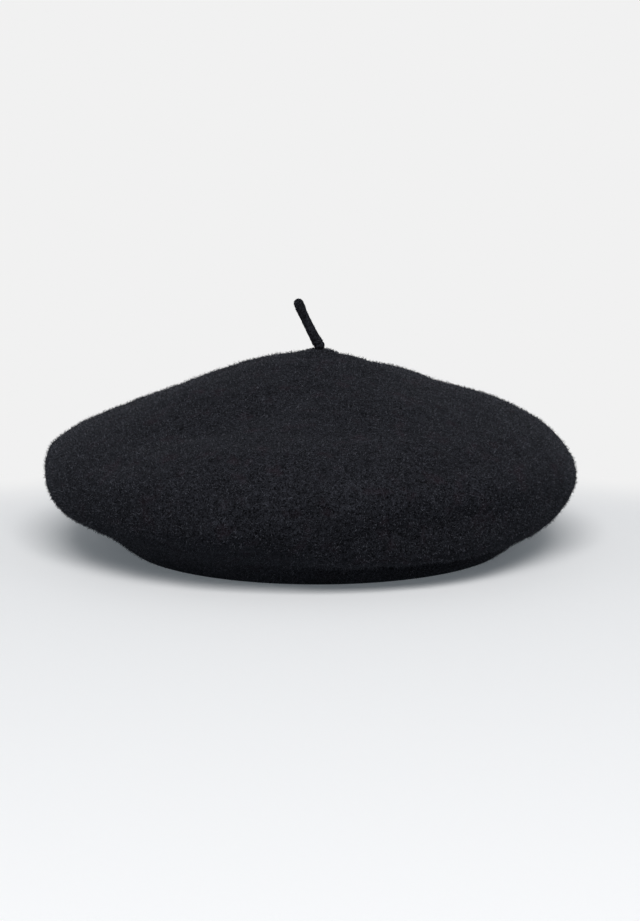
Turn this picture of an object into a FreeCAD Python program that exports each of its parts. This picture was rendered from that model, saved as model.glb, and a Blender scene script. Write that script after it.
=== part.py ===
import FreeCAD, Part
import Sketcher
import os

# A felted wool beret with a stalk at its crown, a leather sweatband and a satin lining.
# Frame: +Z up, the origin under the middle of the beret on the surface it stands on,
# +Y towards the back of the head, millimetres.
#
# The felt is one knitted and fulled blank. Its form is a stack of rings, from the hem
# round the head opening, out under the rim and up over the crown to the peak. A ring is
# a circle: shift moves its centre along X, and lift raises its +X edge and drops its -X
# edge by as much, where the soft felt slumps.

RINGS = ["hem", "under", "flank", "rim", "brow", "shoulder",
         "slope_low", "slope_mid", "slope_high", "crown_low", "crown_high", "peak"]

SIZES = [
    # felt blank, ring by ring
    ("hem_radius", 98.2, "outer edge of the flat foot round the head opening"),
    ("hem_height", 0, "foot of the hem"),
    ("hem_shift", 3, "centre of the head opening along X"),
    ("hem_lift", 0, "the foot lies level"),
    ("under_radius", 113.4, "underside, near the hem"),
    ("under_height", 11.2, ""),
    ("under_shift", 0.4, ""),
    ("under_lift", -1.8, ""),
    ("flank_radius", 129.8, "underside, near the rim"),
    ("flank_height", 21.2, ""),
    ("flank_shift", -0.6, ""),
    ("flank_lift", -1.6, ""),
    ("rim_radius", 139.2, "widest ring"),
    ("rim_height", 36, ""),
    ("rim_shift", 0.4, ""),
    ("rim_lift", 1.6, ""),
    ("brow_radius", 134.2, "ring above the rim"),
    ("brow_height", 52.4, ""),
    ("brow_shift", -3.2, ""),
    ("brow_lift", 2, ""),
    ("shoulder_radius", 119.6, "where the rim turns into the crown"),
    ("shoulder_height", 63.7, ""),
    ("shoulder_shift", -4.8, ""),
    ("shoulder_lift", 3.8, ""),
    ("slope_low_radius", 102, "crown slope"),
    ("slope_low_height", 70.8, ""),
    ("slope_low_shift", -5.3, ""),
    ("slope_low_lift", 4, ""),
    ("slope_mid_radius", 84.5, ""),
    ("slope_mid_height", 77.2, ""),
    ("slope_mid_shift", -5.4, ""),
    ("slope_mid_lift", 3.1, ""),
    ("slope_high_radius", 67, ""),
    ("slope_high_height", 83.7, ""),
    ("slope_high_shift", -5.1, ""),
    ("slope_high_lift", 2.4, ""),
    ("crown_low_radius", 49.5, "top of the crown"),
    ("crown_low_height", 90, ""),
    ("crown_low_shift", -4.2, ""),
    ("crown_low_lift", 1.5, ""),
    ("crown_high_radius", 32, ""),
    ("crown_high_height", 95.6, ""),
    ("crown_high_shift", -2.2, ""),
    ("crown_high_lift", 0.6, ""),
    ("peak_radius", 14, "ring where the felt draws up to the stalk"),
    ("peak_height", 100.3, ""),
    ("peak_shift", 1.5, ""),
    ("peak_lift", 0, ""),
    ("felt_wall", 2.8, "thickness of the fulled felt"),
    ("hem_wall", 5.4, "the hem is turned in, so it is two layers thick"),
    ("hem_rise", 5, "height of the turned-in hem"),
    # tuft of felt under the stalk, and the hole through it
    ("tuft_shift", 4.2, "stalk's root along X"),
    ("tuft_radius", 6.6, "foot of the tuft"),
    ("tuft_rise", 1.9, "foot of the tuft above the peak ring"),
    ("mouth_radius", 3.1, "top of the tuft"),
    ("mouth_rise", 3, "top of the tuft above the peak ring"),
    ("eyelet_radius", 1.2, "hole for the root yarn"),
    # stalk and its root
    ("bead_radius", 2.85, "felted bead that the stalk turns on"),
    ("bead_clearance", 0.15, "round the bead, in the tuft and in the stalk"),
    ("pivot_rise", 2, "bead's centre above the top of the tuft"),
    ("stalk_length", 28.2, "from the bead's centre to the tip"),
    ("stalk_foot_radius", 2.9, ""),
    ("stalk_foot_rise", 1.5, "stalk's foot above the bead's centre"),
    ("stalk_waist_radius", 2.25, ""),
    ("stalk_tip_radius", 2.4, ""),
    ("stalk_bow", 0.4, "sideways bow of the stalk at its middle"),
    ("stalk_lean", 26, "degrees from upright, towards -X"),
    ("yarn_clearance", 0.1, "round the root yarn, in the eyelet and below the bead"),
    ("knot_radius", 4, "yarn knot under the crown"),
    ("knot_depth", 2.2, ""),
    ("knot_round", 1.3, "radius of the knot's lower edge"),
    ("tack_count", 4, "stitches that tack the knot to the felt"),
    ("tack_length", 3.4, ""),
    # leather sweatband
    ("band_fit", 0.05, "between the sweatband and the hem"),
    ("band_wall", 1.2, ""),
    ("band_height", 28, ""),
    ("band_lift", 1, "sweatband's lower edge above the foot"),
    ("band_edge_round", 0.4, ""),
    ("butt_gap", 0.6, "between the strip's ends, at the back"),
    # thread
    ("thread_radius", 0.35, ""),
    ("thread_taper", 0.5, "end of a stitch, where the thread dips into its hole"),
    ("stitch_length", 3.6, "visible length of a stitch"),
    ("stitch_pitch", 5.5, ""),
    ("band_stitch_rise", 2.4, "stitch row above the sweatband's lower edge"),
    ("butt_stitch_pitch", 3.2, "stitches across the butt joint"),
    ("butt_stitch_count", 7, ""),
    ("butt_stitch_start", 4.6, "first one above the sweatband's lower edge"),
    # satin lining
    ("lining_gap", 1.2, "between the felt and the lining"),
    ("lining_wall", 0.5, ""),
    ("lining_slack", 2.4, "how far the lining hangs below the crown at the peak"),
    ("seam_pitch", 7.2, "stitches of the lining's rim seam"),
    ("seam_stitch_length", 3, ""),
    # ribbon bow at the back of the sweatband
    ("bow_width", 26, "across both loops"),
    ("bow_ribbon_width", 10, ""),
    ("bow_depth", 3.2, "of a loop"),
    ("bow_ply", 0.5, "thickness of the ribbon"),
    ("bow_rise", 9, "bow's lower edge above the sweatband's lower edge"),
    ("bow_clearance", 0.1, "between the loops, the wrap and the sweatband"),
    ("wrap_width", 5.2, "wrap round the middle of the bow"),
    ("bow_tack_inset", 3, "tacks in from the outer ends of the loops"),
    # care label on the +X side, and the tab that it hangs from
    ("label_width", 16, ""),
    ("label_length", 16, ""),
    ("label_ply", 0.6, "thickness of the folded tape"),
    ("label_corner", 1.2, "radius of the label's lower corners"),
    ("label_clearance", 0.6, "between the label, its tab and the sweatband"),
    ("tab_height", 5, ""),
    ("tab_fit", 0.05, "between the tab and the sweatband"),
    ("tab_drop", 1, "top of the tab below the sweatband's upper edge"),
    ("tab_stitch_spacing", 5.5, ""),
    ("tab_stitch_count", 3, ""),
]

doc = FreeCAD.newDocument("Beret")
sheet = doc.addObject("Spreadsheet::Sheet", "Sizes")
for row, (alias, value, note) in enumerate(SIZES, start=1):
    sheet.set(f"A{row}", alias)
    sheet.set(f"B{row}", str(value))
    sheet.set(f"C{row}", note)
    sheet.setAlias(f"B{row}", alias)
doc.recompute()

bodies = []


def cell(name):
    """A sheet cell, as an expression."""
    return f"Sizes.{name}"


def new_body(label, x="0", y="0", z="0", axis=(0, 0, 1), turn=None):
    """A body whose own origin stands at x, y, z, turned by an angle about an axis."""
    body = doc.addObject("PartDesign::Body", label)
    body.Label = label
    body.AllowCompound = True
    body.Placement = FreeCAD.Placement(
        FreeCAD.Vector(0, 0, 0), FreeCAD.Rotation(FreeCAD.Vector(*axis), 1))
    body.setExpression("Placement.Base.x", x)
    body.setExpression("Placement.Base.y", y)
    body.setExpression("Placement.Base.z", z)
    body.setExpression("Placement.Rotation.Angle", turn or "0 deg")
    bodies.append(body)
    return body


def origin_part(body, role):
    """The body's own origin plane or axis with that role."""
    return next(f for f in body.Origin.OriginFeatures if f.Role == role)


def circle_sketch(body, name, radius, x="0", z="0", tilt=None):
    """A circle on a level plane of the body, moved along X and Z and tilted about Y."""
    sketch = body.newObject("Sketcher::SketchObject", name)
    sketch.AttachmentSupport = [(origin_part(body, "XY_Plane"), "")]
    sketch.MapMode = "FlatFace"
    sketch.AttachmentOffset = FreeCAD.Placement(
        FreeCAD.Vector(0, 0, 0), FreeCAD.Rotation(FreeCAD.Vector(0, 1, 0), 1))
    up = FreeCAD.Vector(0, 0, 1)
    sketch.addGeometry(Part.Circle(FreeCAD.Vector(0, 0, 0), up, 10))
    sketch.addConstraint(Sketcher.Constraint("Coincident", 0, 3, -1, 1))
    radius_index = sketch.addConstraint(Sketcher.Constraint("Radius", 0, 10))
    sketch.renameConstraint(radius_index, "radius")
    sketch.setExpression("Constraints.radius", radius)
    sketch.setExpression("AttachmentOffset.Base.x", x)
    sketch.setExpression("AttachmentOffset.Base.z", z)
    sketch.setExpression("AttachmentOffset.Rotation.Angle", tilt or "0 deg")
    return sketch


def loft(body, kind, name, sketches, straight=False):
    """A loft through circles, smooth or straight from ring to ring."""
    feature = body.newObject("PartDesign::" + kind, name)
    feature.Profile = sketches[0]
    feature.Sections = sketches[1:]
    feature.Ruled = straight
    return feature


def place(feature, x, y, z):
    """Moves a primitive inside its body."""
    for letter, expression in (("x", x), ("y", y), ("z", z)):
        feature.setExpression("Placement.Base." + letter, expression)


def box(body, kind, name, size, corner):
    """A box primitive, from its lowest corner."""
    feature = body.newObject("PartDesign::" + kind, name)
    for side, expression in zip(("Length", "Width", "Height"), size):
        feature.setExpression(side, expression)
    place(feature, *corner)
    return feature


def cylinder(body, kind, name, radius, height, foot):
    """An upright cylinder primitive, from the middle of its foot."""
    feature = body.newObject("PartDesign::" + kind, name)
    feature.setExpression("Radius", radius)
    feature.setExpression("Height", height)
    place(feature, *foot)
    return feature


def sphere(body, kind, name, radius, centre):
    feature = body.newObject("PartDesign::" + kind, name)
    feature.setExpression("Radius", radius)
    place(feature, *centre)
    return feature


def stitch(body, along, length, centre="0"):
    """A straight run of thread along X, Y or Z, its middle at X = centre.

    Half its outline, a low trapezium, is turned about its long edge, so each end tapers
    to a point where the thread dips into its hole.
    """
    role, turn, letter = {"X": ("XY_Plane", 0, "x"), "Y": ("YZ_Plane", 0, "z"),
                          "Z": ("XZ_Plane", 90, "x")}[along]
    sketch = body.newObject("Sketcher::SketchObject", "half_stitch")
    sketch.AttachmentSupport = [(origin_part(body, role), "")]
    sketch.MapMode = "FlatFace"
    sketch.AttachmentOffset = FreeCAD.Placement(
        FreeCAD.Vector(0, 0, 0), FreeCAD.Rotation(FreeCAD.Vector(0, 0, 1), turn))
    sketch.setExpression("AttachmentOffset.Base." + letter, centre)
    corners = [FreeCAD.Vector(x, y, 0) for x, y in ((-2, 0), (2, 0), (1, 1), (-1, 1))]
    axis, right, top, left = (
        sketch.addGeometry(Part.LineSegment(corners[i], corners[(i + 1) % 4])) for i in range(4))
    for constraint in (("Coincident", axis, 2, right, 1), ("Coincident", right, 2, top, 1),
                       ("Coincident", top, 2, left, 1), ("Coincident", left, 2, axis, 1),
                       ("Symmetric", axis, 1, axis, 2, -1, 1), ("PointOnObject", axis, 2, -1),
                       ("Symmetric", top, 1, top, 2, -2)):
        sketch.addConstraint(Sketcher.Constraint(*constraint))
    for name, kind, points, drawn, size in (
            ("length", "DistanceX", (axis, 1, axis, 2), 4, length),
            ("radius", "DistanceY", (axis, 1, top, 2), 1, cell("thread_radius")),
            ("taper", "DistanceX", (axis, 1, top, 2), 1, cell("thread_taper"))):
        index = sketch.addConstraint(Sketcher.Constraint(kind, *points, drawn))
        sketch.renameConstraint(index, name)
        sketch.setExpression("Constraints." + name, size)
    feature = body.newObject("PartDesign::Revolution", "stitch")
    feature.Profile = sketch
    feature.ReferenceAxis = (sketch, ["H_Axis"])
    feature.Angle = 360
    return feature


def round_the_circle(body, feature, count):
    """Repeats a feature evenly round the body's Z axis."""
    pattern = body.newObject("PartDesign::PolarPattern", "round")
    pattern.Originals = [feature]
    pattern.Axis = (origin_part(body, "Z_Axis"), [""])
    pattern.Angle = 360
    pattern.setExpression("Occurrences", count)
    body.Tip = pattern
    return pattern


def in_a_row(body, feature, role, length, count):
    """Repeats a feature evenly along one of the body's axes."""
    pattern = body.newObject("PartDesign::LinearPattern", "row")
    pattern.Originals = [feature]
    pattern.Direction = (origin_part(body, role), [""])
    pattern.setExpression("Length", length)
    pattern.setExpression("Occurrences", count)
    body.Tip = pattern
    return pattern


def fillet(body, base, names, radius):
    feature = body.newObject("PartDesign::Fillet", "round_edges")
    feature.Base = (base, names)
    feature.setExpression("Radius", radius)
    body.Tip = feature
    return feature


# --- where a skin of the felt lies -------------------------------------------------

def add_form():
    """Holds each ring's outward direction across the felt, from its two neighbours."""
    form = doc.addObject("App::VarSet", "Form")
    for index, ring in enumerate(RINGS):
        before = RINGS[max(index - 1, 0)]
        after = RINGS[min(index + 1, len(RINGS) - 1)]
        run = f"({cell(after)}_radius - {cell(before)}_radius)"
        rise = f"({cell(after)}_height - {cell(before)}_height)"
        form.addProperty("App::PropertyFloat", ring + "_out", "Form")
        form.addProperty("App::PropertyFloat", ring + "_up", "Form")
        form.setExpression(ring + "_out", f"{rise} / hypot({run}; {rise})")
        form.setExpression(ring + "_up", f"-{run} / hypot({run}; {rise})")
    doc.recompute()


def skin_ring(body, prefix, ring, inset="0", flat=None):
    """One ring of a skin that lies inset inside the felt's outer face.

    flat is "level" where the inset shrinks the ring in its own plane, and "drop"
    where it only lowers the ring.
    """
    out, up = f"Form.{ring}_out", f"Form.{ring}_up"
    if flat:
        out, up = ("1", "0") if flat == "level" else ("0", "1")
    base = cell(ring)
    return circle_sketch(
        body, f"{prefix}_{ring}",
        radius=f"{base}_radius - ({inset}) * {out}",
        x=f"{base}_shift",
        z=f"{base}_height - ({inset}) * {up}",
        tilt=f"-atan({base}_lift / {base}_radius)")


# --- the pieces ----------------------------------------------------------------------

MOUTH_HEIGHT = f"({cell('peak_height')} + {cell('mouth_rise')})"
PIVOT_HEIGHT = f"({MOUTH_HEIGHT} + {cell('pivot_rise')})"
CEILING = f"({cell('peak_height')} - {cell('felt_wall')})"
SOCKET_RADIUS = f"({cell('bead_radius')} + {cell('bead_clearance')})"
BAND_OUTER = f"({cell('hem_radius')} - {cell('hem_wall')} - {cell('band_fit')})"
BAND_INNER = f"({BAND_OUTER} - {cell('band_wall')})"
LINING_OUT = f"({cell('felt_wall')} + {cell('lining_gap')})"
LINING_IN = f"({LINING_OUT} + {cell('lining_wall')})"


def felt_body():
    """Crown, rim and underside in one blank, with the turned-in hem and the tuft."""
    body = new_body("felt_body")
    outer = [skin_ring(body, "outer", ring) for ring in RINGS]
    loft(body, "AdditiveLoft", "blank", outer)
    tuft_foot = circle_sketch(
        body, "tuft_foot", cell("tuft_radius"), cell("tuft_shift"),
        f"{cell('peak_height')} + {cell('tuft_rise')}")
    tuft_mouth = circle_sketch(
        body, "tuft_mouth", cell("mouth_radius"), cell("tuft_shift"), MOUTH_HEIGHT)
    loft(body, "AdditiveLoft", "tuft", [outer[-1], tuft_foot, tuft_mouth])

    hem_inner = f"{cell('hem_radius')} - {cell('hem_wall')}"
    cylinder(body, "SubtractiveCylinder", "head_opening", hem_inner,
             f"{cell('hem_rise')} + 2 * {cell('felt_wall')}",
             (cell("hem_shift"), "0", f"-{cell('felt_wall')}"))
    sphere(body, "SubtractiveSphere", "bead_socket", SOCKET_RADIUS,
           (cell("tuft_shift"), "0", PIVOT_HEIGHT))
    cylinder(body, "SubtractiveCylinder", "eyelet", cell("eyelet_radius"),
             f"{PIVOT_HEIGHT} - {CEILING} + {cell('felt_wall')}",
             (cell("tuft_shift"), "0", f"{CEILING} - {cell('felt_wall')}"))

    inner = [circle_sketch(body, "inner_hem", hem_inner, cell("hem_shift"),
                           cell("hem_rise"))]
    inner += [skin_ring(body, "inner", ring, cell("felt_wall")) for ring in RINGS[1:-1]]
    inner.append(skin_ring(body, "inner", "peak", cell("felt_wall"), "drop"))
    loft(body, "SubtractiveLoft", "hollow", inner)


def stalk():
    """The stalk, upright in its own frame, with a cup in its foot for the bead."""
    body = new_body("stalk", cell("tuft_shift"), "0", PIVOT_HEIGHT,
                    (0, 1, 0), f"-{cell('stalk_lean')} * 1deg")
    length, bow = cell("stalk_length"), cell("stalk_bow")
    tip_height = f"{length} - {cell('stalk_tip_radius')}"
    rings = [circle_sketch(body, "foot", cell("stalk_foot_radius"), "0",
                           cell("stalk_foot_rise"))]
    for name, share in (("low", 0.25), ("middle", 0.5), ("high", 0.75), ("top", 1)):
        bend = 4 * share * (1 - share)  # a parabola, none at the foot and the top
        rings.append(circle_sketch(body, name, cell("stalk_waist_radius"),
                                   f"-{bow} * {bend}", f"({tip_height}) * {share}"))
    loft(body, "AdditiveLoft", "rod", rings)
    sphere(body, "AdditiveSphere", "tip_end", cell("stalk_tip_radius"),
           ("0", "0", tip_height))
    sphere(body, "SubtractiveSphere", "bead_cup", SOCKET_RADIUS, ("0", "0", "0"))


def stalk_root():
    """The felted bead between the crown and the stalk."""
    body = new_body("stalk_root", cell("tuft_shift"), "0", PIVOT_HEIGHT)
    sphere(body, "AdditiveSphere", "bead", cell("bead_radius"), ("0", "0", "0"))


def root_yarn():
    """Yarn that comes up through the eyelet to the bead."""
    body = new_body("root_yarn", cell("tuft_shift"), "0", CEILING)
    cylinder(body, "AdditiveCylinder", "yarn",
             f"{cell('eyelet_radius')} - {cell('yarn_clearance')}",
             f"{PIVOT_HEIGHT} - {SOCKET_RADIUS} - {CEILING} - {cell('yarn_clearance')}",
             ("0", "0", "0"))


def anchor_knot():
    """The yarn's knot, flat against the underside of the crown."""
    body = new_body("anchor_knot", cell("tuft_shift"), "0",
                    f"{CEILING} - {cell('knot_depth')}")
    knot = cylinder(body, "AdditiveCylinder", "knot", cell("knot_radius"),
                    cell("knot_depth"), ("0", "0", "0"))
    doc.recompute()
    low = min(range(len(knot.Shape.Edges)), key=lambda i: knot.Shape.Edges[i].BoundBox.ZMax)
    fillet(body, knot, [f"Edge{low + 1}"], cell("knot_round"))


def anchor_stitches():
    body = new_body("anchor_stitches", cell("tuft_shift"), "0", CEILING)
    one = stitch(body, "X", cell("tack_length"), cell("knot_radius"))
    round_the_circle(body, one, cell("tack_count"))


def sweatband():
    """A leather strip bent into a ring, with its ends butted at the back."""
    turn = f"90deg + {cell('butt_gap')} / {BAND_INNER} * 90deg / pi"
    body = new_body("sweatband", cell("hem_shift"), "0", cell("band_lift"),
                    (0, 0, 1), turn)
    ring = cylinder(body, "AdditiveCylinder", "ring", BAND_OUTER, cell("band_height"),
                    ("0", "0", "0"))
    ring.setExpression("Angle", f"360deg - {cell('butt_gap')} / {BAND_INNER} * 180deg / pi")
    inside = cylinder(body, "SubtractiveCylinder", "inside", BAND_INNER,
                      f"{cell('band_height')} * 3", ("0", "0", f"-{cell('band_height')}"))
    doc.recompute()
    rims = [f"Edge{index}" for index, edge in enumerate(inside.Shape.Edges, start=1)
            if edge.Curve.TypeId == "Part::GeomCircle"]
    fillet(body, inside, rims, cell("band_edge_round"))


def band_stitches():
    """The row that sews the sweatband to the hem."""
    body = new_body("band_stitches", cell("hem_shift"), "0",
                    f"{cell('band_lift')} + {cell('band_stitch_rise')}")
    one = stitch(body, "Y", cell("stitch_length"), BAND_INNER)
    round_the_circle(body, one, f"floor(2 * pi * {BAND_INNER} / {cell('stitch_pitch')})")


def butt_stitches():
    """Stitches across the strip's butted ends."""
    body = new_body("butt_stitches", cell("hem_shift"), BAND_INNER,
                    f"{cell('band_lift')} + {cell('butt_stitch_start')}")
    one = stitch(body, "X", cell("stitch_length"))
    steps = f"({cell('butt_stitch_count')} - 1)"
    in_a_row(body, one, "Z_Axis", f"{cell('butt_stitch_pitch')} * {steps}",
             cell("butt_stitch_count"))


def cloth_between(body, outer, inner):
    """A thin wall between two skins, straight from ring to ring as cut cloth lies."""
    loft(body, "AdditiveLoft", "outer_face", outer, straight=True)
    loft(body, "SubtractiveLoft", "inner_face", inner, straight=True)


def lining_side():
    """Lining of the underside, from the sweatband out to the seam at the rim."""
    body = new_body("lining_side")
    seam = f"{cell('hem_radius')} - {cell('hem_wall')} + {cell('lining_gap')}"
    height = f"{cell('hem_rise')} + {cell('lining_gap')} + {cell('lining_wall')}"
    skins = []
    for prefix, inset, edge in (("outer", LINING_OUT, f"{seam} + {cell('lining_wall')}"),
                                ("inner", LINING_IN, seam)):
        skins.append([
            circle_sketch(body, f"{prefix}_edge", edge, cell("hem_shift"), height),
            skin_ring(body, prefix, "under", inset),
            skin_ring(body, prefix, "flank", inset),
            skin_ring(body, prefix, "rim", inset, "level")])
    cloth_between(body, *skins)


def lining_tip():
    """Lining of the crown, from the rim seam to the peak, where it hangs slack."""
    body = new_body("lining_tip")
    rings = RINGS[RINGS.index("rim"):]
    last = len(rings) - 1
    skins = []
    for prefix, inset in (("outer", LINING_OUT), ("inner", LINING_IN)):
        skin = []
        for index, ring in enumerate(rings):
            flat = {0: "level", last: "drop"}.get(index)
            slack = f"{cell('lining_slack')} * {index * index} / {last * last}"
            skin.append(skin_ring(body, prefix, ring, f"{inset} + {slack}", flat))
        skins.append(skin)
    cloth_between(body, *skins)


def lining_stitches():
    """The seam that joins the two linings, on the rim ring's own tilted plane."""
    body = new_body("lining_stitches", cell("rim_shift"), "0", cell("rim_height"),
                    (0, 1, 0), f"-atan({cell('rim_lift')} / {cell('rim_radius')})")
    radius = f"({cell('rim_radius')} - {LINING_IN})"
    one = stitch(body, "Z", cell("seam_stitch_length"), radius)
    round_the_circle(body, one, f"floor(2 * pi * {radius} / {cell('seam_pitch')})")


def sagitta(half_width):
    """How far a flat piece of that half width stands off the sweatband's inner face."""
    return f"({BAND_INNER} - sqrt({BAND_INNER}^2 - ({half_width})^2))"


WRAP_ROOM = f"({cell('bow_ply')} + {cell('thread_radius')} + {cell('bow_clearance')})"
BOW_STAND = f"max({sagitta(cell('bow_width') + ' / 2')}; {WRAP_ROOM})"
BOW_BACK = f"({BAND_INNER} - {BOW_STAND} - {cell('bow_clearance')})"
BOW_FOOT = f"({cell('band_lift')} + {cell('bow_rise')})"


def flat_ring(body, kind, name, left, right, depth, inset, foot, height):
    """A flattened tube with round ends, upright, between two places along X.

    Its back is at Y = 0 and its front at Y = -depth; inset shrinks it all round.
    """
    radius = f"({depth} / 2 - {inset})"
    start, end = f"({left} + {depth} / 2)", f"({right} - {depth} / 2)"
    box(body, kind + "Box", name, (f"{end} - {start}", f"2 * {radius}", height),
        (start, f"-{depth} / 2 - {radius}", foot))
    for place_x in (start, end):
        cylinder(body, kind + "Cylinder", name + "_end", radius, height,
                 (place_x, f"-{depth} / 2", foot))


def bow_loops():
    """Two flat ribbon loops, which meet at the middle of the bow."""
    body = new_body("bow_loops", cell("hem_shift"), BOW_BACK, BOW_FOOT)
    depth, ply, tall = cell("bow_depth"), cell("bow_ply"), cell("bow_ribbon_width")
    middle, end = f"{cell('bow_clearance')} / 2", f"{cell('bow_width')} / 2"
    for left, right in ((f"(0 - {end})", f"(0 - {middle})"), (f"({middle})", f"({end})")):
        flat_ring(body, "Additive", "loop", left, right, depth, "0", "0", tall)
        flat_ring(body, "Subtractive", "inside", left, right, depth, ply,
                  f"-{tall}", f"3 * {tall}")


def bow_wrap():
    """The ribbon round the middle of the bow."""
    body = new_body("bow_wrap", cell("hem_shift"), BOW_BACK, BOW_FOOT)
    gap, ply, width = cell("bow_clearance"), cell("bow_ply"), cell("wrap_width")
    deep = f"({cell('bow_depth')} + 2 * {gap})"
    tall = f"({cell('bow_ribbon_width')} + 2 * {gap})"
    box(body, "AdditiveBox", "ribbon", (width, f"{deep} + 2 * {ply}", f"{tall} + 2 * {ply}"),
        (f"-{width} / 2", f"{gap} + {ply} - {deep} - 2 * {ply}", f"-{gap} - {ply}"))
    box(body, "SubtractiveBox", "inside", (f"3 * {width}", deep, tall),
        (f"-3 * {width} / 2", f"{gap} - {deep}", f"-{gap}"))


def bow_tacks():
    """A tack through each loop's back ply into the leather."""
    reach = f"({cell('bow_width')} / 2 - {cell('bow_tack_inset')})"
    stand = f"({BAND_INNER} - {sagitta(reach)} - {BOW_BACK})"
    body = new_body("bow_tacks", cell("hem_shift"), f"{BOW_BACK} + {stand} / 2",
                    f"{BOW_FOOT} + {cell('bow_ribbon_width')} / 2")
    length = f"{stand} + 2 * ({cell('bow_ply')} + {cell('bow_clearance')})"
    for side in ("-1", "1"):
        stitch(body, "Y", length, f"{side} * {reach}")


LABEL_STAND = sagitta(cell("label_width") + " / 2")
TAB_FOOT = (f"({cell('band_lift')} + {cell('band_height')} - {cell('tab_drop')}"
            f" - {cell('tab_height')})")
TAB_BACK = f"({cell('hem_shift')} + {BAND_INNER} - {LABEL_STAND} - {cell('tab_fit')})"


def label_tab():
    """The folded end of the label's tape, sewn to the sweatband."""
    body = new_body("label_tab", TAB_BACK, "0", TAB_FOOT)
    ply, width = cell("label_ply"), cell("label_width")
    box(body, "AdditiveBox", "tape", (ply, width, cell("tab_height")),
        (f"-{ply}", f"-{width} / 2", "0"))


def label_stitches():
    """Stitches along the tab's face."""
    steps = f"({cell('tab_stitch_count')} - 1)"
    row = f"({cell('tab_stitch_spacing')} * {steps})"
    body = new_body("label_stitches", f"{TAB_BACK} - {cell('label_ply')}",
                    f"-{row} / 2", f"{TAB_FOOT} + {cell('tab_height')} / 2")
    one = stitch(body, "Y", cell("stitch_length"))
    in_a_row(body, one, "Y_Axis", row, cell("tab_stitch_count"))


def care_label():
    """The free length of the folded tape. It swings about its own top edge."""
    ply, width = cell("label_ply"), cell("label_width")
    length = cell("label_length")
    body = new_body("care_label",
                    f"{TAB_BACK} + {cell('tab_fit')} - {cell('label_clearance')} - {ply} / 2",
                    "0", f"{TAB_FOOT} - {cell('label_clearance')}")
    tape = box(body, "AdditiveBox", "tape", (ply, width, length),
               (f"-{ply} / 2", f"-{width} / 2", f"-{length}"))
    doc.recompute()
    corners = [f"Edge{index}" for index, edge in enumerate(tape.Shape.Edges, start=1)
               if edge.BoundBox.XLength > edge.BoundBox.YLength + edge.BoundBox.ZLength
               and edge.CenterOfMass.z < -edge.Length]
    fillet(body, tape, corners, cell("label_corner"))


add_form()
for make in (felt_body, stalk, stalk_root, root_yarn, anchor_knot, anchor_stitches,
             sweatband, band_stitches, butt_stitches, lining_side, lining_tip,
             lining_stitches, bow_loops, bow_wrap, bow_tacks, label_tab, label_stitches,
             care_label):
    make()
doc.recompute()

for thing in doc.Objects:
    if {"Invalid", "Error"} & set(thing.State):
        raise RuntimeError(f"{thing.Label} is {thing.State}")
for body in bodies:
    if body.Shape.isNull() or not body.Shape.isValid():
        raise RuntimeError(f"{body.Label} has no valid shape")

os.makedirs("parts", exist_ok=True)
for body in bodies:
    body.Shape.exportStep(f"parts/{body.Label}.step")
    print(body.Label, len(body.Shape.Solids), "solids,", round(body.Shape.Volume, 1), "mm3")
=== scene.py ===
import bpy
import math
import numpy as np
from mathutils import Matrix, Vector


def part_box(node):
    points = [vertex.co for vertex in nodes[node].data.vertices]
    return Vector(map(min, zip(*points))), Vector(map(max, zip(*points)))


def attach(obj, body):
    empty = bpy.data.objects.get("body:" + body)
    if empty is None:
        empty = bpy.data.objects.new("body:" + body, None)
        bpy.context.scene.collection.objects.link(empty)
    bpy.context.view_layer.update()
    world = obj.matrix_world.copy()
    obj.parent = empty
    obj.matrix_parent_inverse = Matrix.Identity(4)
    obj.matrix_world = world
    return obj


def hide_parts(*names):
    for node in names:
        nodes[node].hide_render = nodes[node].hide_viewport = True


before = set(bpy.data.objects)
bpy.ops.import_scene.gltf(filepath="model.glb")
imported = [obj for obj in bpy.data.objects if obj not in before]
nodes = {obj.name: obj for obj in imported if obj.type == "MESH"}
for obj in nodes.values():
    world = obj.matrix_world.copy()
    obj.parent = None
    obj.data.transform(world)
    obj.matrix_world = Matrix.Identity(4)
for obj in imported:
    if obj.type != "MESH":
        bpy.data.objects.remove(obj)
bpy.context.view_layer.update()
mm = 0.001
fullTurn = 2 * math.pi
xWay, yWay, zWay = np.eye(3)
print("frame loaded")


def linearColour(hexCode):
    # sRGB hex to a linear colour
    channels = [int(hexCode[i:i + 2], 16) / 255 for i in (1, 3, 5)]
    linear = [c / 12.92 if c <= 0.04045 else ((c + 0.055) / 1.055) ** 2.4 for c in channels]
    return (*linear, 1.0)


def addNode(tree, kind, inputs=None, **settings):
    # one shader node: its properties, and each socket's value or what is plugged into it
    node = tree.nodes.new(kind)
    for name, value in settings.items():
        setattr(node, name, value)
    for socket, value in (inputs or {}).items():
        if isinstance(value, bpy.types.NodeSocket):
            tree.links.new(value, node.inputs[socket])
        else:
            node.inputs[socket].default_value = value
    return node


def newMaterial(name):
    material = bpy.data.materials.new(name)
    material.use_nodes = True
    material.node_tree.nodes.clear()
    return material, material.node_tree


def finished(material, inputs):
    # the material with its one shader
    tree = material.node_tree
    shader = addNode(tree, "ShaderNodeBsdfPrincipled", {"IOR": 1.5, **inputs})
    addNode(tree, "ShaderNodeOutputMaterial", {"Surface": shader.outputs["BSDF"]})
    return material


def objectPlace(tree):
    return addNode(tree, "ShaderNodeTexCoord").outputs["Object"]


def noise(tree, place, size, detail, roughness=0.5):
    # soft noise with spots about size mm across
    return addNode(tree, "ShaderNodeTexNoise",
                   {"Scale": 1 / (size * mm), "Detail": detail, "Roughness": roughness,
                    "Vector": place}).outputs["Fac"]


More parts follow.
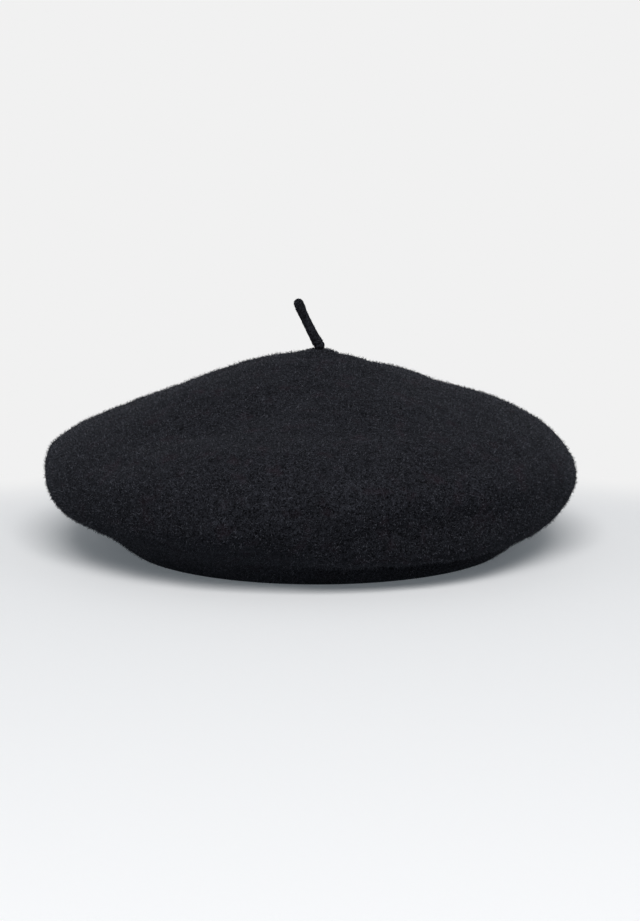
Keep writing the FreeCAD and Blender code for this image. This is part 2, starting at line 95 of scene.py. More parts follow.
def stretch(tree, value, low, high, least=0.0, most=1.0, **settings):
    # the span of a value from low to high, spread over the span from least to most
    return addNode(tree, "ShaderNodeMapRange",
                   {"From Min": low, "From Max": high, "To Min": least, "To Max": most,
                    "Value": value}, **settings).outputs["Result"]


noiseSpan = (0.3, 0.7)  # nearly all of a soft noise lies between these


def combine(tree, operation, *terms):
    return addNode(tree, "ShaderNodeMath", dict(enumerate(terms)), operation=operation).outputs[0]


def blend(tree, a, b, share, **settings):
    # colour a moved towards colour b by a share
    return addNode(tree, "ShaderNodeMix", {"Factor": share, "A": a, "B": b},
                   data_type="RGBA", **settings).outputs["Result"]


def shaded(tree, colour, shade):
    return blend(tree, colour, shade, 1.0, blend_type="MULTIPLY")


def bumps(tree, height, strength, depth, under=None):
    # bumps of a depth in mm, over those of another normal
    inputs = {"Strength": strength, "Distance": depth * mm, "Height": height}
    if under is not None:
        inputs["Normal"] = under
    return addNode(tree, "ShaderNodeBump", inputs).outputs["Normal"]


def gridFaces(rows, columns, closedRows=False):
    # quads between neighbouring rows and columns of a grid, whose columns run round and whose
    # rows do where they are closed
    r, c = np.arange(rows if closedRows else rows - 1), np.arange(columns)
    r, c = (a.ravel() for a in np.meshgrid(r, c, indexing="ij"))
    up, along = (r + 1) % rows, (c + 1) % columns
    return np.stack([r * columns + c, r * columns + along,
                     up * columns + along, up * columns + c], axis=1)


def fan(ring, tip, reverse=False):
    # triangles from a closed ring of corner numbers to one tip
    pair = [ring, np.roll(ring, -1)]
    return np.stack((pair[::-1] if reverse else pair) + [np.full(len(ring), tip)], axis=1)


def addObject(name, data):
    thing = bpy.data.objects.new(name, data)
    bpy.context.scene.collection.objects.link(thing)
    return thing


def newPiece(name, points, faces, body, material, smooth=True, cloth=None):
    # a mesh from points in mm; faces is a list of arrays of corner numbers, and cloth is each
    # point's place on the flat cloth in metres, for a pattern that follows it
    mesh = bpy.data.meshes.new(name)
    points = np.asarray(points, float).reshape(-1, 3) * mm
    groups = faces if isinstance(faces, list) else [faces]
    corners = np.concatenate([f.ravel() for f in groups])
    sizes = np.concatenate([np.full(len(f), f.shape[1]) for f in groups])
    mesh.vertices.add(len(points))
    mesh.vertices.foreach_set("co", points.ravel())
    mesh.loops.add(len(corners))
    mesh.loops.foreach_set("vertex_index", corners)
    mesh.polygons.add(len(sizes))
    mesh.polygons.foreach_set("loop_start", np.concatenate([[0], np.cumsum(sizes)[:-1]]))
    mesh.polygons.foreach_set("use_smooth", np.full(len(sizes), smooth))
    mesh.update(calc_edges=True)
    if cloth is not None:
        mesh.uv_layers.new(name="cloth").uv.foreach_set("vector", cloth[corners].ravel())
    mesh.validate()
    piece = addObject(name, mesh)
    mesh.materials.append(material)
    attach(piece, body)
    return piece


def dress(nodeName, material):
    # a CAD node whose shape is right keeps it and only takes a finish
    mesh = nodes[nodeName].data
    mesh.materials.clear()
    mesh.materials.append(material)


def smoothThrough(knots, values, at):
    # natural cubic spline: second derivatives from one linear system, then cubics between knots
    knots, values, at = np.asarray(knots, float), np.asarray(values, float), np.asarray(at, float)
    n, h = len(knots), np.diff(knots)
    system, right = np.eye(n), np.zeros(n)
    for i in range(1, n - 1):
        system[i, i - 1:i + 2] = h[i - 1], 2 * (h[i - 1] + h[i]), h[i]
        right[i] = 6 * ((values[i + 1] - values[i]) / h[i] - (values[i] - values[i - 1]) / h[i - 1])
    bend = np.linalg.solve(system, right)
    k = np.clip(np.searchsorted(knots, at) - 1, 0, n - 2)
    a, b = knots[k + 1] - at, at - knots[k]
    return ((bend[k] * a ** 3 + bend[k + 1] * b ** 3) / (6 * h[k])
            + (values[k] / h[k] - bend[k] * h[k] / 6) * a
            + (values[k + 1] / h[k] - bend[k + 1] * h[k] / 6) * b)


def ripples(points, length, count, seed):
    # smooth unevenness of about unit height: a sum of plane waves in random directions, each
    # of the wave length within 30 percent
    source = np.random.default_rng(seed)
    ways = source.normal(size=(count, 3))
    pitch = fullTurn / length / np.linalg.norm(ways, axis=1) * source.uniform(0.7, 1.3, count)
    phases = source.uniform(0, fullTurn, count)
    return np.sin(points @ (ways * pitch[:, None]).T + phases).sum(-1) * math.sqrt(2 / count)


def unitVectors(v):
    return v / np.linalg.norm(v, axis=-1, keepdims=True)


def hill(value, centre, width):
    return np.exp(-((value - centre) / width) ** 2)


def turnBetween(angle, centre):
    # signed turn from centre to angle, from -180 to 180 degrees
    return (angle - centre + 180) % 360 - 180


def evenTurns(count):
    return np.linspace(0, fullTurn, count, endpoint=False)


def roundPoints(radius, height, turn, shift=0.0):
    # points at a radius and a height, turned round a centre that is shifted along X
    return np.stack(np.broadcast_arrays(shift + radius * np.cos(turn), radius * np.sin(turn),
                                        height), axis=-1)


def makeFelt():
    # Fulled and brushed merino knit, dyed black. Fulling mats the fibres, so it has no gloss:
    # a mottled grain down to single fibres, faint clouds of warmer wool, small pills, and a
    # pale haze at a slant. Sizes are in mm; a span is the part of a noise that is spread out.
    felt = {"dark": "#020203", "light": "#33343a", "toneSpan": (0.40, 0.62),
            "fibre": 0.6, "grain": 1.3, "fineDepth": 0.6,
            "warm": "#2a1f25", "warmSize": 10.0, "warmSpan": (0.56, 0.72), "warmest": 0.35,
            "cloud": 20.0, "cloudSpan": noiseSpan, "cloudShade": (0.88, 1.12),
            "pill": 3.2, "pillSpan": (0.35, 0.65), "pillShade": (0.74, 1.26),
            "pillStrength": 0.55, "pillDepth": 0.7,
            "roughness": 0.95, "gloss": 0.03, "sheen": 0.06, "haze": "#b9c0cf"}
    material, tree = newMaterial("fulledWoolFelt")
    place = objectPlace(tree)
    fibre = noise(tree, place, felt["fibre"], 1, 0.6)
    grain = noise(tree, place, felt["grain"], 4, 0.7)
    mottle = combine(tree, "MULTIPLY_ADD", fibre, 0.5, combine(tree, "MULTIPLY", grain, 0.5))
    colour = blend(tree, linearColour(felt["dark"]), linearColour(felt["light"]),
                   stretch(tree, mottle, *felt["toneSpan"]))
    warmth = stretch(tree, noise(tree, place, felt["warmSize"], 2, 0.6), *felt["warmSpan"],
                     0.0, felt["warmest"])
    colour = blend(tree, colour, linearColour(felt["warm"]), warmth)
    clouds, pills = (noise(tree, place, felt[kind], 3, 0.6) for kind in ("cloud", "pill"))
    for spots, kind in ((clouds, "cloud"), (pills, "pill")):
        shade = stretch(tree, spots, *felt[kind + "Span"], *felt[kind + "Shade"])
        colour = shaded(tree, colour, shade)
    fine = bumps(tree, mottle, 1.0, felt["fineDepth"])
    return finished(material, {
        "Base Color": colour, "Roughness": felt["roughness"], "Specular IOR Level": felt["gloss"],
        "Sheen Weight": felt["sheen"], "Sheen Roughness": 0.45,
        "Sheen Tint": linearColour(felt["haze"]),
        "Normal": bumps(tree, pills, felt["pillStrength"], felt["pillDepth"], fine)})


woolFelt = makeFelt()
print("felt material ready")


feltForm = {
    # rings from the hem round the head opening to the peak:
    # radius, height, shift of the centre along X, lift of the +X edge, all in mm
    "rings": [(98.2, 0, 3, 0), (113.4, 11.2, 0.4, -1.8), (129.8, 21.2, -0.6, -1.6),
              (139.2, 36, 0.4, 1.6), (134.2, 52.4, -3.2, 2), (119.6, 63.7, -4.8, 3.8),
              (102, 70.8, -5.3, 4), (84.5, 77.2, -5.4, 3.1), (67, 83.7, -5.1, 2.4),
              (49.5, 90, -4.2, 1.5), (32, 95.6, -2.2, 0.6), (14, 100.3, 1.5, 0)],
    "underRing": 1, "rimRing": 3,  # the ring inside the underside, and the widest one
    "wall": 2.8, "hemWall": 5.4, "hemRise": 5, "hemRound": 0.9,
    "hemLip": (1.2, 0.8),  # how far the turned-in felt's edge lies out and up from the hem's
    "innerFoot": 0.6,  # where the inner skin ends, as a share of the way to the under ring
    "tuftShift": 4.2, "mouthRadius": 3.1, "mouthHeight": 103.3,
    "pivotHeight": 105.3, "socketRadius": 3.0, "eyeletRadius": 1.2,
    "rows": 150, "tuftRows": 10, "dishRows": 4, "innerRows": 44, "columns": 400,
    # slow slumps: turn round the beret in degrees (-90 is the front, 0 is +X), its width,
    # distance up the felt from the hem in mm, its width, push outwards in mm
    "slumps": [(-142, 14, 110, 13, -3.6), (-126, 13, 126, 12, -3.6), (-110, 13, 141, 12, -2.8),
               (-92, 15, 160, 11, -2.0), (-100, 24, 98, 15, 3.2), (-150, 18, 152, 13, 1.8),
               (-118, 16, 168, 12, 1.6), (-142, 16, 86, 13, -3.4), (-42, 22, 136, 16, 1.6),
               (-52, 34, 70, 8, 2.4), (-52, 38, 53, 10, -4.8), (-64, 28, 35, 8, 3.4),
               (-112, 22, 52, 9, 1.2), (-112, 22, 36, 8, -1.6), (-20, 16, 104, 10, -1.2),
               (-70, 14, 118, 10, -0.9), (-64, 26, 15, 7, -3.6),
               (38, 26, 176, 13, -1.7), (36, 24, 143, 13, 1.2),
               (60, 40, 92, 20, -0.7), (125, 36, 120, 22, 0.6), (95, 40, 55, 14, 0.8)],
    "slumpEnds": (18, 22),  # mm from the hem and from the peak in which the slumps die out
    # wave length and height in mm, and seed
    "unevenness": [(46, 0.35, 3), (17, 0.15, 5), (7, 0.07, 8)], "waves": 24, "unevenEnds": (12, 10),
}
ringTable = np.array(feltForm["rings"], float)
ringGaps = np.hypot(*np.diff(ringTable[:, :2], axis=0).T)
ringPlace = np.concatenate([[0], np.cumsum(ringGaps)])  # mm up the felt from the hem
feltLength = ringPlace[-1]
underPlace, rimPlace = ringPlace[feltForm["underRing"]], ringPlace[feltForm["rimRing"]]
hemRadius, hemHeight, hemShift = ringTable[0, :3]
peakRadius, peakHeight, peakShift = ringTable[-1, :3]


def fadeAtEnds(along, lengths):
    # 0 at the hem and the peak, 1 further than these two lengths from them
    return (np.clip(along / lengths[0], 0, 1)
            * np.clip((feltLength - along) / lengths[1], 0, 1))


def slumpAt(along, turn):
    # push of the soft felt along its normal: a sum of smooth hills, none at the hem or peak
    total = np.zeros(np.broadcast(along, turn).shape)
    for centreTurn, widthTurn, centreAlong, widthAlong, push in feltForm["slumps"]:
        total += (push * hill(turnBetween(np.degrees(turn), centreTurn), 0, widthTurn)
                  * hill(along, centreAlong, widthAlong))
    ends = fadeAtEnds(along, feltForm["slumpEnds"])
    return total * ends * ends * (3 - 2 * ends)


def ringAt(along, turn, inset):
    # the plain skin: a circle of the ring's radius about its shifted centre, raised by lift
    # times cos(turn), and moved inset along the profile's own normal
    radius, height, shift, lift = (smoothThrough(ringPlace, values, along)
                                   for values in ringTable.T)
    step = 0.05  # mm up the felt, over which the profile's slope is taken
    run = smoothThrough(ringPlace, ringTable[:, 0], along + step) - radius
    rise = smoothThrough(ringPlace, ringTable[:, 1], along + step) - height
    size = np.hypot(run, rise)
    outward, upward = rise / size, -run / size
    points = roundPoints(radius - inset * outward, height + lift * np.cos(turn) - inset * upward,
                         turn, shift)
    return points, roundPoints(outward, upward, turn)


def feltSkin(along, turn, inset=0.0):
    # the plain skin, pushed along its normal by slumps and unevenness
    points, normal = ringAt(along, turn, inset)
    push = slumpAt(along, turn)
    ends = fadeAtEnds(along, feltForm["unevenEnds"])
    for length, height, seed in feltForm["unevenness"]:
        push = push + ends * height * ripples(points, length, feltForm["waves"], seed)
    return points + normal * push[..., None], normal


def tuftProfile(share):
    # radius, height and shift of the centre from the peak ring, 0, to the rim of the dish, 1:
    # the cone of the crown goes on and turns upwards round the stalk
    f = feltForm
    radius = peakRadius + (f["mouthRadius"] - peakRadius) * share
    slope = (peakHeight - ringTable[-2, 1]) / (ringTable[-2, 0] - peakRadius)
    climb = f["mouthHeight"] - peakHeight - slope * (peakRadius - f["mouthRadius"])
    height = peakHeight + slope * (peakRadius - radius) + climb * share ** 3
    shift = peakShift + (f["tuftShift"] - peakShift) * share * (2 - share)
    return radius, height, shift


def makeFeltBody():
    # one closed wall: outer skin, tuft, bead's dish, eyelet, inner skin and turned-in hem
    f = feltForm
    turn = evenTurns(f["columns"])[None, :]
    outer, _ = feltSkin(np.linspace(0, feltLength, f["rows"])[:, None], turn)
    back = np.linspace(feltLength, underPlace * f["innerFoot"], f["innerRows"])[:, None]
    inner, _ = feltSkin(back, turn, f["wall"])

    def ringRows(profile):
        radius, height, shift = np.array(profile, float).T[..., None]
        return roundPoints(radius, height, turn, shift)

    tuft = np.stack(tuftProfile(np.linspace(0, 1, f["tuftRows"] + 1)[1:]), axis=1)
    socket = f["socketRadius"]
    rimAngle = math.acos((f["pivotHeight"] - f["mouthHeight"]) / socket)
    dish = [(socket * math.sin(a), f["pivotHeight"] - socket * math.cos(a), f["tuftShift"])
            for a in np.linspace(rimAngle, math.asin(f["eyeletRadius"] / socket), f["dishRows"])]
    eyelet = [(f["eyeletRadius"], peakHeight - f["wall"], f["tuftShift"])]
    seat, lipOut, lipUp = hemRadius - f["hemWall"], *f["hemLip"]
    hem = [(seat + lipOut, f["hemRise"] + lipUp), (seat, f["hemRise"]), (seat, f["hemRise"] / 2)]
    bend = f["hemRound"]
    for corner, side in ((seat + bend, math.pi), (hemRadius - bend, 1.5 * math.pi)):
        hem += [(corner + bend * math.cos(side + a), hemHeight + bend * (1 + math.sin(side + a)))
                for a in np.radians((0, 30, 60, 90))]
    hem = [(radius, height, hemShift) for radius, height in hem[:-1]]
    grid = np.concatenate([outer, ringRows(tuft), ringRows(dish + eyelet), inner, ringRows(hem)])
    faces = gridFaces(len(grid), f["columns"], closedRows=True)
    piece = newPiece("felt_blank", grid, faces, "beret", woolFelt)
    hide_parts("felt_body")


makeFeltBody()
print("felt blank")


def makeLooseWool():
    # single merino fibres brushed out of the felt: paler than the mat, since light passes
    # through one fibre, and of mixed shades
    wool = {"dark": "#0e0f13", "light": "#62646d", "patch": 1.2, "toneSpan": (0.42, 0.66)}
    material, tree = newMaterial("looseWoolFibre")
    mix = noise(tree, objectPlace(tree), wool["patch"], 1)
    colour = blend(tree, linearColour(wool["dark"]), linearColour(wool["light"]),
                   stretch(tree, mix, *wool["toneSpan"]))
    return finished(material, {"Base Color": colour, "Roughness": 0.7, "Specular IOR Level": 0.15})


looseWool = makeLooseWool()

# brushed-up fibres: lengths and thickness in mm, leans from the normal in degrees; short ones
# are commoner, by a beta distribution; curl is how far a tip bends away, and middleAt and
# tipAt how far up its two halves reach, as shares of length; sunk is the root's depth in mm
nap = {"length": (0.8, 2.9), "shortness": (1.5, 3), "thickness": 0.18, "unevenness": (0.7, 1.3),
       "lean": (15, 80), "curl": 0.5, "curlAhead": (-0.2, 1), "curlSideways": 0.6,
       "middleWidth": 0.8, "middleAt": 0.5, "tipAt": 0.45, "sunk": 0.15,
       "count": 15500, "patches": 4, "seeds": (40, 60), "ends": (1.5, 1), "steps": 400}
tuftNap = {"count": 1100, "length": (0.5, 2.0), "lean": (5, 50), "reach": 0.85, "steepness": 2.5,
           "seeds": (50, 51)}
stalkNap = {"count": 420, "length": (0.3, 0.9), "seeds": (77, 78)}


def fibres(roots, normals, seed, lengths=nap["length"], leans=nap["lean"]):
    # each fibre is a three-sided spike: three corners at its root, three halfway and one tip,
    # leaning from the normal and curling further over
    source = np.random.default_rng(seed)
    n = len(roots)
    side = unitVectors(np.cross(normals, source.normal(size=(n, 3))))
    lean = np.radians(source.uniform(*leans, n))[:, None]
    direction = normals * np.cos(lean) + side * np.sin(lean)
    across = unitVectors(np.cross(direction, normals))
    over = np.cross(direction, across)
    length = (lengths[0] + (lengths[1] - lengths[0]) * source.beta(*nap["shortness"], n))[:, None]
    curl = (side * source.uniform(*nap["curlAhead"], (n, 1))
            + across * source.normal(0, nap["curlSideways"], (n, 1))) * nap["curl"]
    middle = roots + direction * length * nap["middleAt"]
    tip = middle + (direction + curl) * length * nap["tipAt"]
    half = nap["thickness"] / 2 * source.uniform(*nap["unevenness"], (n, 1))
    points = [centre + width * (across * math.cos(a) + over * math.sin(a))
              for centre, width in ((roots - normals * nap["sunk"], half),
                                    (middle, half * nap["middleWidth"]))
              for a in np.radians((0, 120, 240))]
    points = np.stack([*points, tip], axis=1)  # fibre, corner, xyz
    points[..., 2] = np.maximum(points[..., 2], nap["thickness"] / 2)  # none under the floor
    quads = np.array([(0, 1, 4, 3), (1, 2, 5, 4), (2, 0, 3, 5)])
    triangles = np.array([(2, 1, 0), (3, 4, 6), (4, 5, 6), (5, 3, 6)])
    start = (np.arange(n) * points.shape[1])[:, None, None]
    faces = [(quads + start).reshape(-1, 4), (triangles + start).reshape(-1, 3)]
    return points.reshape(-1, 3), faces


def addFibres(name, body, points, faces):
    newPiece(name, points, faces, body, looseWool, smooth=False)


def makeNap():
    # fibres spread evenly by area: places up the felt are drawn in proportion to radius
    along = np.linspace(nap["ends"][0], feltLength - nap["ends"][1], nap["steps"])
    weight = smoothThrough(ringPlace, ringTable[:, 0], along)
    weight = np.cumsum(weight) / weight.sum()
    placeSeed, hairSeed = nap["seeds"]
    span = fullTurn / nap["patches"]
    for patch in range(nap["patches"]):
        source = np.random.default_rng(placeSeed + patch)
        place = np.interp(source.uniform(0, 1, nap["count"]), weight, along)
        turn = source.uniform(patch * span, (patch + 1) * span, nap["count"])
        addFibres(f"nap_{patch + 1}", "beret", *fibres(*feltSkin(place, turn), hairSeed + patch))
    placeSeed, hairSeed = tuftNap["seeds"]
    source = np.random.default_rng(placeSeed)
    turn = source.uniform(0, fullTurn, tuftNap["count"])
    share = np.sqrt(source.uniform(0, tuftNap["reach"], tuftNap["count"]))
    radius, height, shift = tuftProfile(share)
    roots = roundPoints(radius, height, turn, shift)
    normals = unitVectors(roundPoints(1, tuftNap["steepness"], turn))
    hair, faces = fibres(roots, normals, hairSeed, tuftNap["length"], tuftNap["lean"])
    addFibres("nap_tuft", "beret", hair, faces)


makeNap()
print("nap on the felt")


stalkForm = {
    # in the stalk's own frame, in mm above the pivot; lean from upright in degrees
    "footRise": 1.5, "footRadius": 2.95, "footFades": 2.6, "waist": 2.45, "tip": 2.65,
    "tipFades": 3.5, "length": 27.2, "bow": 0.4, "lean": 26, "cupReach": 2.6,
    "rows": 90, "cupRows": 6, "columns": 36,
    "lumps": [(5.5, 0.05, 21), (2.2, 0.03, 22)], "waves": 18,  # wave length, height and seed
}
stalkAway = np.array(Matrix.Rotation(math.radians(-stalkForm["lean"]), 3, "Y"))
stalkPivot = np.array([feltForm["tuftShift"], 0, feltForm["pivotHeight"]])


def leaned(points):
    return points @ stalkAway.T + stalkPivot


def makeStalk():
    # a radius carried up a slightly bowed line: flared foot, even stem, rounded fuller tip,
    # with a concave foot that sits over the bead
    s = stalkForm
    turn = evenTurns(s["columns"])[None, :]
    up = np.linspace(0, 1, s["rows"])[:, None]
    shoulder = s["length"] - s["tip"]  # where the tip begins to round over
    height = s["footRise"] + (s["length"] - s["footRise"]) * up
    flare = (s["footRadius"] - s["waist"]) * np.exp(-(height - s["footRise"]) / s["footFades"])
    swell = (s["tip"] - s["waist"]) * hill(height, shoulder, s["tipFades"])
    toTip = np.clip((height - shoulder) / s["tip"], 0, 1)
    radius = (s["waist"] + flare + swell) * np.sqrt(np.clip(1 - toTip ** 2, 1e-4, 1))
    bow = -s["bow"] * np.sin(math.pi * np.clip(height / shoulder, 0, 1))
    points = roundPoints(radius, height, turn, bow)
    lumps = sum(rise * ripples(points, length, s["waves"], seed)
                for length, rise, seed in s["lumps"])
    outward = roundPoints(1, 0 * up, turn)
    points = points + outward * (lumps * np.clip(radius / s["waist"], 0, 1))[..., None]
    socket = feltForm["socketRadius"]
    cup = np.linspace(1, 0.02, s["cupRows"])[:, None] * math.asin(s["cupReach"] / socket)
    dish = roundPoints(socket * np.sin(cup), socket * np.cos(cup), turn)
    grid = np.concatenate([dish[::-1], points])
    ring, last = np.arange(s["columns"]), grid[..., 0].size
    ends = np.array([[0, 0, grid[0, :, 2].mean()], [0, 0, s["length"]]])
    stem = np.concatenate([grid.reshape(-1, 3), ends])
    faces = [gridFaces(len(grid), s["columns"]), fan(ring, last, reverse=True),
             fan(ring + last - s["columns"], last + 1)]
    piece = newPiece("stalk_stem", leaned(stem), faces, "stalk", woolFelt)
    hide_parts("stalk")
    drawSeed, hairSeed = stalkNap["seeds"]
    source = np.random.default_rng(drawSeed)
    pick = source.integers(s["cupRows"], len(grid) - 1, stalkNap["count"])
    spot = source.integers(0, s["columns"], stalkNap["count"])
    roots = grid[pick, spot]
    rounded = np.clip((roots[:, 2] - shoulder) / s["tip"], 0, 1)[:, None]
    normals = unitVectors(outward[0][spot] * (1 - rounded) + zWay * rounded + 1e-6)
    hair, faces = fibres(roots, normals, hairSeed, stalkNap["length"])
    addFibres("stalk_nap", "stalk", leaned(hair), faces)


def makeBead():
    # a ball of felted yarn, a little uneven
    bead = {"radius": 2.85, "columns": 32, "rows": 18, "lump": 0.05, "lumpLength": 0.8, "waves": 16,
            "seed": 31}
    down = np.linspace(0, math.pi, bead["rows"] + 2)[1:-1, None]
    unit = roundPoints(np.sin(down), np.cos(down), evenTurns(bead["columns"]))
    unit = np.concatenate([unit.reshape(-1, 3), [zWay, -zWay]])
    lumps = bead["lump"] * ripples(unit, bead["lumpLength"], bead["waves"], bead["seed"])
    points = unit * (bead["radius"] + lumps)[:, None] + stalkPivot
    ring, last = np.arange(bead["columns"]), bead["columns"] * bead["rows"]
    faces = [gridFaces(bead["rows"], bead["columns"])[:, ::-1], fan(ring, last),
             fan(ring + last - bead["columns"], last + 1, reverse=True)]
    piece = newPiece("stalk_bead", points, faces, "stalk_root", woolFelt)
    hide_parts("stalk_root")


makeStalk()
makeBead()
print("stalk and bead")


def tubeAlong(paths, radius, sides):
    # round tubes of one radius along paths, an array of tube, point, xyz; both ends are closed
    ahead = unitVectors(np.gradient(paths, axis=1))
    least = np.abs(ahead).mean(axis=1).argmin(axis=-1)  # the axis that a tube runs along least
    across = unitVectors(np.cross(ahead, np.eye(3)[least][:, None]))
    over = np.cross(ahead, across)
    turn = evenTurns(sides)
    ring = across[:, :, None] * np.cos(turn)[:, None] + over[:, :, None] * np.sin(turn)[:, None]
    count, length = paths.shape[:2]
    taper = np.ones(length)
    taper[[0, -1]] = 0.45  # each end is rounded off
    points = paths[:, :, None] + ring * radius * taper[:, None, None]
    points = np.concatenate([points.reshape(count, -1, 3), paths[:, :1], paths[:, -1:]], axis=1)
    spot, size = np.arange(sides), length * sides + 2
    caps = np.concatenate([fan(spot, size - 2, reverse=True),
                           fan(spot + (length - 1) * sides, size - 1)])
    shift = (np.arange(count) * size)[:, None, None]
    return points.reshape(-1, 3), [(gridFaces(length, sides) + shift).reshape(-1, 4),
                                   (caps + shift).reshape(-1, 3)]


def makeThread(name, hexCode, roughness):
    # spun thread or yarn, with fine hairs in its tone and on its surface
    spun = {"hair": 0.25, "shade": (0.7, 1.2), "strength": 0.5, "depth": 0.06}
    material, tree = newMaterial(name)
    hairs = noise(tree, objectPlace(tree), spun["hair"], 3)
    colour = shaded(tree, linearColour(hexCode), stretch(tree, hairs, *noiseSpan, *spun["shade"]))
    return finished(material, {"Base Color": colour, "Roughness": roughness, "Sheen Weight": 0.15,
                               "Normal": bumps(tree, hairs, spun["strength"], spun["depth"])})


sewingThread = makeThread("spunPolyesterThread", "#1b1c20", 0.5)
woolYarn = makeThread("twistedWoolYarn", "#141519", 0.9)

# thread: radius as the CAD's, plies and how far from its middle and how thick they are, as
# shares of that radius, turns of the twist in a stitch, rise of its middle in mm
thread = {"radius": 0.35, "plies": 2, "plyPlace": 0.48, "plyRadius": 0.52, "turns": 2.5,
          "rise": 0.22, "steps": 22, "sides": 7}
# how many stitches a seam has, and their length in mm
seams = {"band": (104, 3.6), "rim": (117, 3.0), "label": (3, 3.6), "anchor": (4, 3.4)}
buttStitches = 7


def twisted(first, last, out, radius, turns=thread["turns"], rise=thread["rise"],
            steps=thread["steps"]):
    # plies wound round each other between two ends, arched outwards, for many runs at once
    ahead = unitVectors(last - first)
    out = unitVectors(out - ahead * (out * ahead).sum(-1, keepdims=True))
    side = np.cross(ahead, out)
    share = np.linspace(0, 1, steps)[None, :, None]
    arch = out[:, None] * rise * 4 * share * (1 - share)
    middle = first[:, None] + (last - first)[:, None] * share + arch
    plies = []
    for ply in range(thread["plies"]):
        angle = fullTurn * (turns * share + ply / thread["plies"])
        away = out[:, None] * np.cos(angle) + side[:, None] * np.sin(angle)
        plies.append(middle + radius * thread["plyPlace"] * away)
    return tubeAlong(np.concatenate(plies), radius * thread["plyRadius"], thread["sides"])


def boxMm(node):
    # a CAD node's lower and upper corner and its middle, in mm
    low, high = (np.array(corner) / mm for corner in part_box(node))
    return low, high, (low + high) / 2


def ringOfPlaces(centre, radius, count):
    # places and outward directions round a level circle
    outward = roundPoints(1.0, 0.0, evenTurns(count))
    return centre + radius * outward, outward


def sew(name, node, places, along, out, length):
    # one stitch at each place, along a direction, arched outwards from what it holds
    half = unitVectors(along) * length / 2
    points, faces = twisted(places - half, places + half, out, thread["radius"])
    piece = newPiece(name, points, faces, "beret", sewingThread)
    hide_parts(node)


def makeStitches():
    r = thread["radius"]
    count, length = seams["band"]
    low, high, middle = boxMm("band_stitches")
    places, outward = ringOfPlaces(middle, (high[0] - low[0]) / 2 - r, count)
    sew("band_seam", "band_stitches", places, np.cross(zWay, outward), -outward, length)
    low, high, middle = boxMm("butt_stitches")
    rows = np.linspace(low[2] + r, high[2] - r, buttStitches)[:, None]
    places = middle * (xWay + yWay) + rows * zWay
    sew("butt_seam", "butt_stitches", places, xWay, -yWay, high[0] - low[0])
    count, length = seams["rim"]
    turn = evenTurns(count)
    depth, step = lining["inset"] + lining["wall"], 0.5
    places, outward = feltSkin(rimPlace, turn, depth)  # the seam gives with the slumps
    upward = feltSkin(rimPlace + step, turn, depth)[0] - places
    sew("rim_seam", "lining_stitches", places, upward, -outward, length)
    low, high, middle = boxMm("bow_tacks")
    sides = np.array([[low[0] + r], [high[0] - r]])
    places = middle * (yWay + zWay) + sides * xWay
    sew("bow_tack_threads", "bow_tacks", places, yWay, xWay, high[1] - low[1])
    count, length = seams["label"]
    low, high, middle = boxMm("label_stitches")
    end = (high[1] - low[1] - length) / 2
    places = middle * (xWay + zWay) + np.linspace(-end, end, count)[:, None] * yWay
    sew("label_seam", "label_stitches", places, yWay, -xWay, length)
    count, length = seams["anchor"]
    low, high, middle = boxMm("anchor_stitches")
    places, outward = ringOfPlaces(middle, (high[0] - low[0] - length) / 2, count)
    sew("anchor_threads", "anchor_stitches", places, outward, -zWay, length)


def makeYarn():
    # the yarn that holds the stalk: two plies up through the eyelet, and a knot that winds out
    # in one layer and back in another
    yarn = {"turns": 1.6, "steps": 30, "knotTurns": 5.2, "knotHole": 0.9, "knotSteps": 160,
            "knotSides": 8, "pressed": 0.05, "crossing": 12}
    low, high, middle = boxMm("root_yarn")
    foot, head = (middle * (xWay + yWay) + end[2] * zWay for end in (low, high))
    points, faces = twisted(foot[None], head[None], xWay[None], (high[0] - low[0]) / 2,
                            yarn["turns"], 0.0, yarn["steps"])
    piece = newPiece("root_yarn_plies", points, faces, "beret", woolYarn)
    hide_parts("root_yarn")
    low, high, middle = boxMm("anchor_knot")
    radius = (high[2] - low[2]) / 4
    reach = (high[0] - low[0]) / 2 - radius
    share = np.linspace(0, 1, yarn["knotSteps"])
    outwards = np.where(share < 0.5, 2 * share, 2 - 2 * share)
    coil = yarn["knotHole"] + (reach - yarn["knotHole"]) * outwards
    layer = np.where(share < 0.5, 1, -1) * np.clip(np.abs(share - 0.5) * yarn["crossing"], 0, 1)
    path = roundPoints(coil, layer * (radius - yarn["pressed"]),
                       fullTurn * yarn["knotTurns"] * share)
    points, faces = tubeAlong((path + middle)[None], radius, yarn["knotSides"])
    piece = newPiece("anchor_knot_coil", points, faces, "beret", woolYarn)
    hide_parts("anchor_knot")


